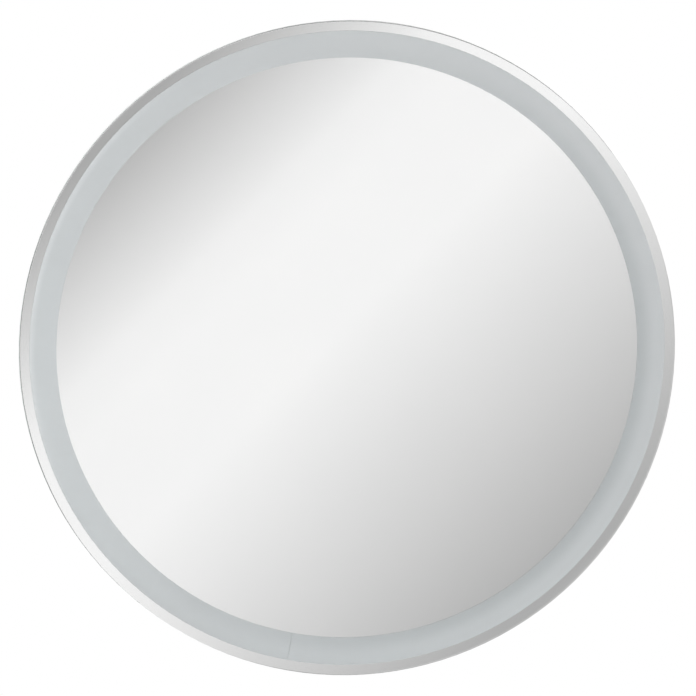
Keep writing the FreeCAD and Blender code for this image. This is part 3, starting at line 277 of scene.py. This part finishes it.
def frosted_ring():
    """The ring behind the etched glass, with painted light and shade: a tone lighter
    towards one side and darker towards the other, painted shade on its flanks, a soft
    painted shade inside its inner edge at the right, a painted highlight that makes its
    outer edge paler at the upper left, and a faint line where the diffuser's ends meet."""
    recipe = Recipe("opal_acrylic")
    flat = recipe.across_the_mirror()
    radius = recipe.vector_math("LENGTH", flat, (0, 0, 0))
    outward = recipe.vector_math("NORMALIZE", flat, (0, 0, 0))

    def towards(degrees):
        angle = math.radians(degrees)
        return recipe.vector_math("DOT_PRODUCT", outward, (math.cos(angle), 0, math.sin(angle)))

    # Painted light and shade: the tone is lighter towards one side of the ring and darker on the
    # other.
    tone = recipe.blend(recipe.fit(towards(LIT_SIDE), -1, 1, 0, 1), RING_SHADED_TONE, RING_LIT_TONE)
    outside = recipe.fit(radius, RING_OUTER - OUTER_REACH, RING_OUTER, 0, 1, smooth=True)
    # Painted shade: darker flanks across the axis at PALE_AXIS, most near the outer edge.
    flank = recipe.fit(recipe.math("ABSOLUTE", towards(PALE_AXIS)), 0, 0.9, 1, 0)
    flank_shade = recipe.math("MULTIPLY", flank, recipe.fit(outside, 0, 1, 0.6, 1))
    tone = recipe.blend(flank_shade, tone, RING_FLANK_SHADE)
    # Painted shade inside the inner edge, deepest towards SHADE_SIDE.
    shaded_side = recipe.fit(towards(SHADE_SIDE), -0.6, 1, 0, 1)
    inside = recipe.fit(radius, RING_INNER + SHADE_FULL, RING_INNER + SHADE_REACH, 1, 0,
                        smooth=True)
    tone = recipe.blend(recipe.math("MULTIPLY", shaded_side, inside), tone, RING_EDGE_SHADE)
    # Painted highlight on the outer edge towards BRIGHT_SIDE.
    bright_side = recipe.fit(towards(BRIGHT_SIDE), 0.7, 0.98, 0, 1, smooth=True)
    tone = recipe.blend(recipe.math("MULTIPLY", bright_side, outside), tone, RING_HIGHLIGHT)
    along = math.radians(JOINT_ANGLE)
    across = recipe.vector_math("DOT_PRODUCT", flat, (-math.sin(along), 0, math.cos(along)))
    near = recipe.fit(recipe.math("ABSOLUTE", across), 0, JOINT_HALF_WIDTH, 1, 0, smooth=True)
    same_side = recipe.fit(towards(JOINT_ANGLE), 0.9, 0.95, 0, 0.3)
    tone = recipe.blend(recipe.math("MULTIPLY", near, same_side), tone, RING_LINE)
    speck = recipe.noise(1500, 2)
    cloud = recipe.noise(30, 3)
    tone = recipe.blend(recipe.spread(cloud, 0.12), tone, shade(RING_SHADED_TONE, 0.93))
    tone = recipe.blend(recipe.fit(speck, 0.35, NOISE_HIGH, 0, 0.06), tone, (0.8, 0.82, 0.83))
    recipe.set(Base_Color=tone, Roughness=0.65)
    recipe.bump(speck, 0.00001)
    return recipe.material


def woven_film():
    """The woven safety film behind the silvering."""
    recipe = Recipe("white_film")
    bands = []
    for direction in ("X", "Z"):
        wave = recipe.node("ShaderNodeTexWave", bands_direction=direction)
        recipe.feed(wave.inputs["Vector"], recipe.place)
        recipe.feed(wave.inputs["Scale"], 160)
        bands.append(wave.outputs["Fac"])
    weave = recipe.math("MULTIPLY", bands[0], bands[1])
    recipe.set(Base_Color=recipe.blend(weave, (0.72, 0.73, 0.74), (0.84, 0.85, 0.85)))
    recipe.set(Roughness=0.6)
    recipe.bump(weave, 0.00005)
    return recipe.material


def circuit_board():
    """Green lacquer over a pattern of tracks."""
    recipe = Recipe("circuit_board")
    tracks = recipe.node("ShaderNodeTexBrick", offset=0.35, squash=0.7)
    recipe.feed(tracks.inputs["Vector"], recipe.place)
    recipe.feed(tracks.inputs["Scale"], 140)
    recipe.feed(tracks.inputs["Color1"], (0.05, 0.23, 0.10, 1))
    recipe.feed(tracks.inputs["Color2"], (0.07, 0.29, 0.13, 1))
    recipe.feed(tracks.inputs["Mortar"], (0.03, 0.16, 0.07, 1))
    grit = recipe.noise(900, 2)
    lacquer = recipe.blend(recipe.spread(grit, 0.3), tracks.outputs["Color"], (0.05, 0.2, 0.09))
    recipe.set(Base_Color=lacquer)
    recipe.set(Roughness=recipe.fit(grit, NOISE_LOW, NOISE_HIGH, 0.3, 0.42))
    recipe.bump(tracks.outputs["Fac"], 0.00004)
    return recipe.material


# Moulded finishes: slot, colour, roughness, size and depth of the grain in metres
MOULDED = [
    ("black_foam", (0.035, 0.035, 0.038), 0.8, 0.0009, 0.00012),
    ("white_abs", (0.8, 0.8, 0.79), 0.42, 0.0006, 0.00003),
    ("tape_board", (0.82, 0.82, 0.79), 0.38, 0.0004, 0.00003),
    ("led_package", (0.85, 0.72, 0.3), 0.3, 0.0003, 0.00003),
    ("black_rubber", (0.03, 0.03, 0.032), 0.68, 0.0007, 0.00006),
    ("natural_polyamide", (0.72, 0.70, 0.63), 0.4, 0.0006, 0.00003),
    ("white_case", (0.78, 0.78, 0.76), 0.5, 0.0008, 0.00006),
    ("ferrite", (0.07, 0.07, 0.075), 0.55, 0.0005, 0.00004),
    ("coil_tape", (0.8, 0.58, 0.12), 0.3, 0.003, 0.00003),
    ("capacitor_sleeve", (0.04, 0.05, 0.1), 0.25, 0.002, 0.00002),
    ("switch_black", (0.04, 0.04, 0.042), 0.5, 0.0005, 0.00004),
    ("rocker_black", (0.045, 0.045, 0.047), 0.28, 0.0008, 0.00001),
    ("blue_pvc", (0.05, 0.18, 0.52), 0.35, 0.001, 0.00001),
    ("brown_pvc", (0.20, 0.09, 0.04), 0.35, 0.001, 0.00001),
    ("green_pvc", (0.18, 0.45, 0.08), 0.35, 0.001, 0.00001),
    ("red_pvc", (0.58, 0.05, 0.035), 0.35, 0.001, 0.00001),
    ("black_pvc", (0.04, 0.04, 0.04), 0.35, 0.001, 0.00001),
]

# Brushed finishes: slot, colour, roughness, lines per metre along x, y and z, metal
ALONG_X = (6, 1600, 1600)
ALONG_Y = (900, 6, 900)
EVEN_GRAIN = (700, 700, 700)
BRUSHED = [
    ("anodised_aluminium", (0.52, 0.53, 0.545), 0.3, ALONG_Y, 1.0),
    ("rail_steel", (0.50, 0.51, 0.52), 0.3, ALONG_X, 0.75),
    ("zinc_steel", (0.66, 0.65, 0.60), 0.24, EVEN_GRAIN, 1.0),
    ("brass", (0.72, 0.54, 0.24), 0.26, ALONG_X, 1.0),
    ("tinned_brass", (0.66, 0.64, 0.58), 0.3, ALONG_X, 1.0),
]


def finishes():
    """One material for each slot of the record."""
    looks = {
        "clear_glass": clear_glass(),
        "silvering": silvering(),
        "white_film": woven_film(),
        "opal_acrylic": frosted_ring(),
        "circuit_board": circuit_board(),
        "galvanised_steel": spangled("galvanised_steel", (0.43, 0.445, 0.46)),
    }
    for maker, table in ((moulded, MOULDED), (brushed, BRUSHED)):
        for slot, *values in table:
            looks[slot] = maker(slot, *values)
    return looks


def dress_nodes():
    looks = finishes()
    for part in frame["record"]["subparts"]:
        mesh = frame["nodes"][part["node"]].data
        mesh.materials.clear()
        mesh.materials.append(looks[part["material_slot"]])


# ---------------------------------------------------------------- studio

def new_object(name, data):
    thing = bpy.data.objects.new(name, data)
    bpy.context.scene.collection.objects.link(thing)
    return thing


def panel(name, corners):
    mesh = bpy.data.meshes.new(name)
    mesh.from_pydata(corners, [], [(0, 1, 2, 3)])
    return new_object(name, mesh)


def seen_directly(tree):
    """1 for rays that look at the studio, straight or through metal and glass."""
    rays = tree.nodes.new("ShaderNodeLightPath")
    total = None
    for name in ("Is Camera Ray", "Is Glossy Ray", "Is Transmission Ray"):
        if total is None:
            total = rays.outputs[name]
            continue
        larger = tree.nodes.new("ShaderNodeMath")
        larger.operation = "MAXIMUM"
        tree.links.new(total, larger.inputs[0])
        tree.links.new(rays.outputs[name], larger.inputs[1])
        total = larger.outputs[0]
    return total


def add_sky():
    """White to the eye and in reflections, and a softer light on everything."""
    world = bpy.data.worlds.new("sky")
    world.use_nodes = True
    bpy.context.scene.world = world
    tree = world.node_tree
    light = tree.nodes["Background"]
    light.inputs["Strength"].default_value = SKY_LIGHT
    light.inputs["Color"].default_value = (1, 1, 1, 1)
    white = tree.nodes.new("ShaderNodeBackground")
    white.inputs["Color"].default_value = (1, 1, 1, 1)
    mix = tree.nodes.new("ShaderNodeMixShader")
    tree.links.new(seen_directly(tree), mix.inputs[0])
    tree.links.new(light.outputs[0], mix.inputs[1])
    tree.links.new(white.outputs[0], mix.inputs[2])
    tree.links.new(mix.outputs[0], tree.nodes["World Output"].inputs["Surface"])


def add_floor():
    """A pale floor that runs out into the white of the background. It lies far
    below, so that the switch on the mirror's lower edge can be seen from below."""
    half = FLOOR_SIZE / 2
    floor = panel("floor", [(-half, -half, 0), (half, -half, 0), (half, half, 0), (-half, half, 0)])
    floor.location.z = FLOOR_LEVEL
    recipe = Recipe("floor")
    grain = recipe.noise(60, 3)
    recipe.set(Base_Color=recipe.blend(grain, (0.80, 0.80, 0.80), (0.83, 0.83, 0.83)))
    recipe.set(Roughness=0.9)
    distance = recipe.vector_math("LENGTH", recipe.place, (0, 0, 0))
    away = recipe.fit(distance, FLOOR_LIT_TO, FLOOR_WHITE_FROM, 0, 1, smooth=True)
    white = recipe.node("ShaderNodeEmission")
    seen = recipe.math("MULTIPLY", away, seen_directly(recipe.tree))
    mix = recipe.node("ShaderNodeMixShader")
    recipe.feed(mix.inputs[0], seen)
    recipe.feed(mix.inputs[1], recipe.shader.outputs[0])
    recipe.feed(mix.inputs[2], white.outputs[0])
    recipe.feed(recipe.output.inputs["Surface"], mix.outputs[0])
    floor.data.materials.append(recipe.material)


# What the mirror shows: display levels along a line from the upper left of the
# mirror to the lower right, in metres on the glass from its centre.
REFLECTED = [
    (-0.2937, 168), (-0.2046, 216), (-0.150, 238), (-0.109, 242),
    (-0.0136, 242), (0.0546, 230), (0.1637, 206), (0.2937, 170),
]
REFLECTED_ENDS = [(-0.42, 240), (0.42, 240)]
MIRROR_LEVEL = 0.905


def add_reflected_card():
    """A softly graded card in front of the mirror, seen only as a reflection."""
    card = panel("reflected_card", [
        (CARD_LEFT, 0, CARD_LOW), (CARD_RIGHT, 0, CARD_LOW),
        (CARD_RIGHT, 0, CARD_HIGH), (CARD_LEFT, 0, CARD_HIGH),
    ])
    card.location = CENTRE - Vector((0, CARD_DISTANCE, 0))
    card.visible_camera = False
    card.visible_diffuse = False
    card.visible_shadow = False
    card.visible_volume_scatter = False
    spread = CARD_DISTANCE / -CAMERA_AWAY.y
    shift = -spread * (CAMERA_AWAY.x - CAMERA_AWAY.z) / math.sqrt(2)
    stops = sorted(REFLECTED + REFLECTED_ENDS)
    stops = [((1 + spread) * place + shift, linear(level) / MIRROR_LEVEL) for place, level in stops]
    first, last = stops[0][0], stops[-1][0]
    recipe = Recipe("reflected_card")
    half = math.sqrt(0.5)
    along = recipe.vector_math("DOT_PRODUCT", recipe.place, (half, 0, -half))
    ramp = recipe.node("ShaderNodeValToRGB")
    recipe.feed(ramp.inputs[0], recipe.fit(along, first, last, 0, 1))
    points = ramp.color_ramp.elements
    while len(points) < len(stops):
        points.new(0.5)
    for point, (place, level) in zip(points, stops):
        point.position = (place - first) / (last - first)
        point.color = (level, level, level, 1)
    glow = recipe.node("ShaderNodeEmission")
    recipe.feed(glow.inputs["Color"], ramp.outputs[0])
    recipe.feed(recipe.output.inputs["Surface"], glow.outputs[0])
    card.data.materials.append(recipe.material)


# Graded cards around the back, seen only in metal: name, place from the
# mirror's centre, width, height, and the glow at the left and the right.
METAL_CARDS = [
    ("card_behind", (0.2, 2.6, 0.0), 4.4, 3.2, 0.18, 0.62),
    ("card_left", (-2.2, 1.6, 0.0), 1.2, 2.6, 0.10, 0.40),
    ("card_right", (2.4, 1.2, 0.0), 1.2, 2.6, 0.35, 0.08),
    ("card_below", (0.0, 0.6, -0.9), 2.4, 1.4, 0.12, 0.40),
]


def add_metal_cards():
    for name, place, width, height, left_glow, right_glow in METAL_CARDS:
        card = panel(name, [
            (-width / 2, -height / 2, 0), (width / 2, -height / 2, 0),
            (width / 2, height / 2, 0), (-width / 2, height / 2, 0),
        ])
        card.location = CENTRE + Vector(place)
        card.rotation_euler = (-Vector(place)).to_track_quat("Z", "Y").to_euler()
        for kind in ("camera", "diffuse", "transmission", "volume_scatter", "shadow"):
            setattr(card, "visible_" + kind, False)
        recipe = Recipe(name)
        along = recipe.vector_math("DOT_PRODUCT", recipe.place, (1, 0, 0))
        glow = recipe.node("ShaderNodeEmission")
        strength = recipe.fit(along, -width / 2, width / 2, left_glow, right_glow, smooth=True)
        recipe.feed(glow.inputs["Strength"], strength)
        recipe.feed(recipe.output.inputs["Surface"], glow.outputs[0])
        card.data.materials.append(recipe.material)


LAMPS = [
    # name, place from the mirror's centre, size, power
    ("key", (-2.3, -3.0, 2.2), 2.4, 95),
    ("fill", (2.8, -2.8, 0.6), 2.4, 40),
    ("rear_left", (-2.4, 3.0, 1.8), 2.0, 45),
    ("rear_right", (2.6, 2.6, 0.4), 2.0, 20),
]


def add_lamps():
    for name, place, size, power in LAMPS:
        data = bpy.data.lights.new(name, "AREA")
        data.shape = "SQUARE"
        data.size = size
        data.energy = power
        lamp = new_object(name, data)
        lamp.location = CENTRE + Vector(place)
        lamp.rotation_euler = (-Vector(place)).to_track_quat("-Z", "Y").to_euler()
        lamp.visible_camera = False
        lamp.visible_transmission = False


def add_camera():
    data = bpy.data.cameras.new("camera")
    data.sensor_width = SENSOR_WIDTH
    data.lens = CAMERA_LENS
    data.clip_end = 100
    camera = new_object("camera", data)
    camera.location = CENTRE + CAMERA_AWAY
    turn = (-CAMERA_AWAY).to_track_quat("-Z", "Y")
    aside = turn @ Vector((AIM_RIGHT, -AIM_DOWN, 0))
    camera.rotation_euler = (aside - CAMERA_AWAY).to_track_quat("-Z", "Y").to_euler()
    bpy.context.scene.camera = camera


bpy.context.scene.view_settings.view_transform = "Standard"
dress_nodes()
add_sky()
add_floor()
add_reflected_card()
add_metal_cards()
add_lamps()
add_camera()
